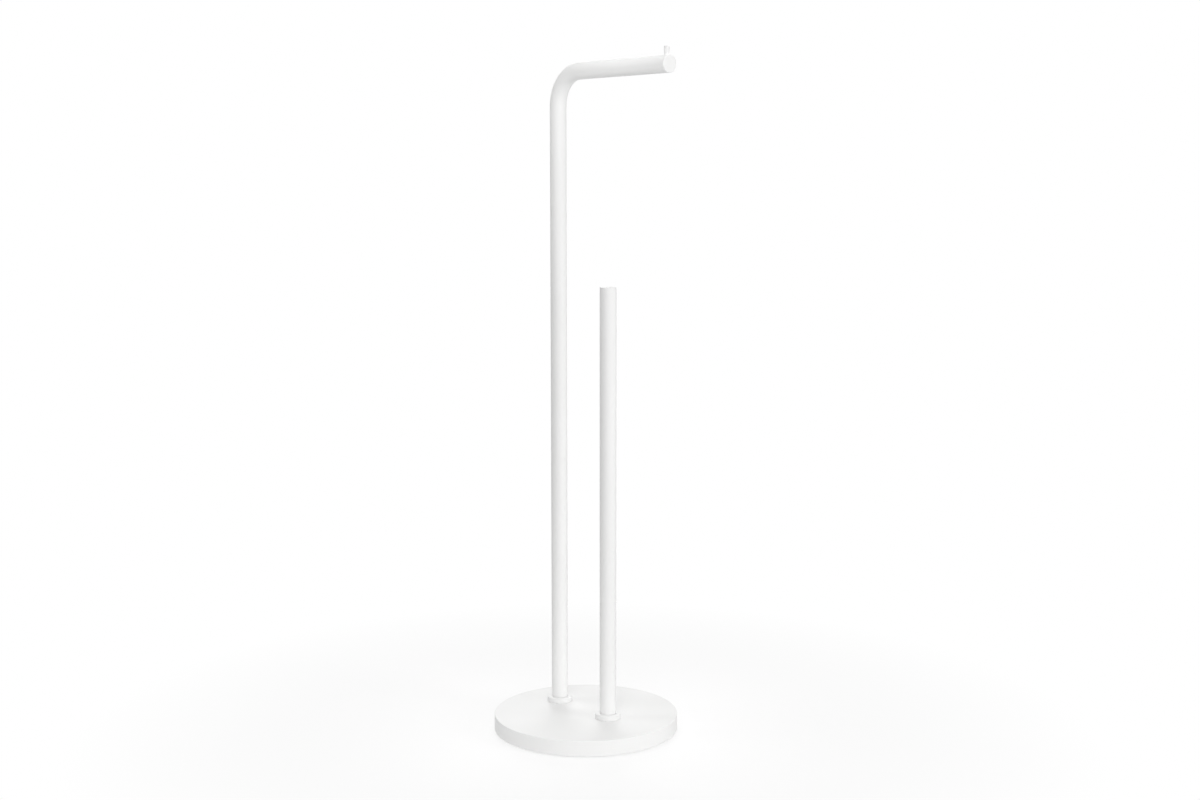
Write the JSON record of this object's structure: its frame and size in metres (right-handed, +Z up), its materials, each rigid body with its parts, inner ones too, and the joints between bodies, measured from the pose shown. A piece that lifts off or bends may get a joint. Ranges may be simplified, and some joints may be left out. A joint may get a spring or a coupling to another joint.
{
  "type": "free-standing toilet roll holder",
  "caption": "Free-standing toilet roll stand: a heavy round base, a tall tube bent over into a roll arm with an upright stop pin, and a straight shorter post for spare rolls.",
  "frame": {"origin": "on the floor, under the centre of the round base, in the plane of the pad's lower face", "axes": "+Z up; +X along the arm, from the tall post towards the arm's end; +Y to the left of someone who looks along +X"},
  "size_m": [0.203, 0.18, 0.655],
  "materials": {
    "white_powder_coat": "fine matt white powder coat on steel",
    "pad_foam": "matt dark foam rubber with a fine closed-cell skin",
    "zinc_plate": "bright zinc plated steel",
    "plain_steel": "turned plain steel"
  },
  "bodies": {
    "root": {"base_plate": "white_powder_coat", "base_pad": "pad_foam", "tall_post_tube": "white_powder_coat", "tall_post_collar": "white_powder_coat", "tall_post_insert": "plain_steel", "tall_post_bolt": "zinc_plate", "tall_post_flat_washer": "zinc_plate", "tall_post_spring_washer": "zinc_plate", "tall_post_locating_pin": "plain_steel", "arm_end_plug": "white_powder_coat", "arm_stop_pin": "white_powder_coat", "short_post_tube": "white_powder_coat", "short_post_collar": "white_powder_coat", "short_post_insert": "plain_steel", "short_post_bolt": "zinc_plate", "short_post_flat_washer": "zinc_plate", "short_post_spring_washer": "zinc_plate", "short_post_top_plug": "white_powder_coat"}
  },
  "joints": []
}
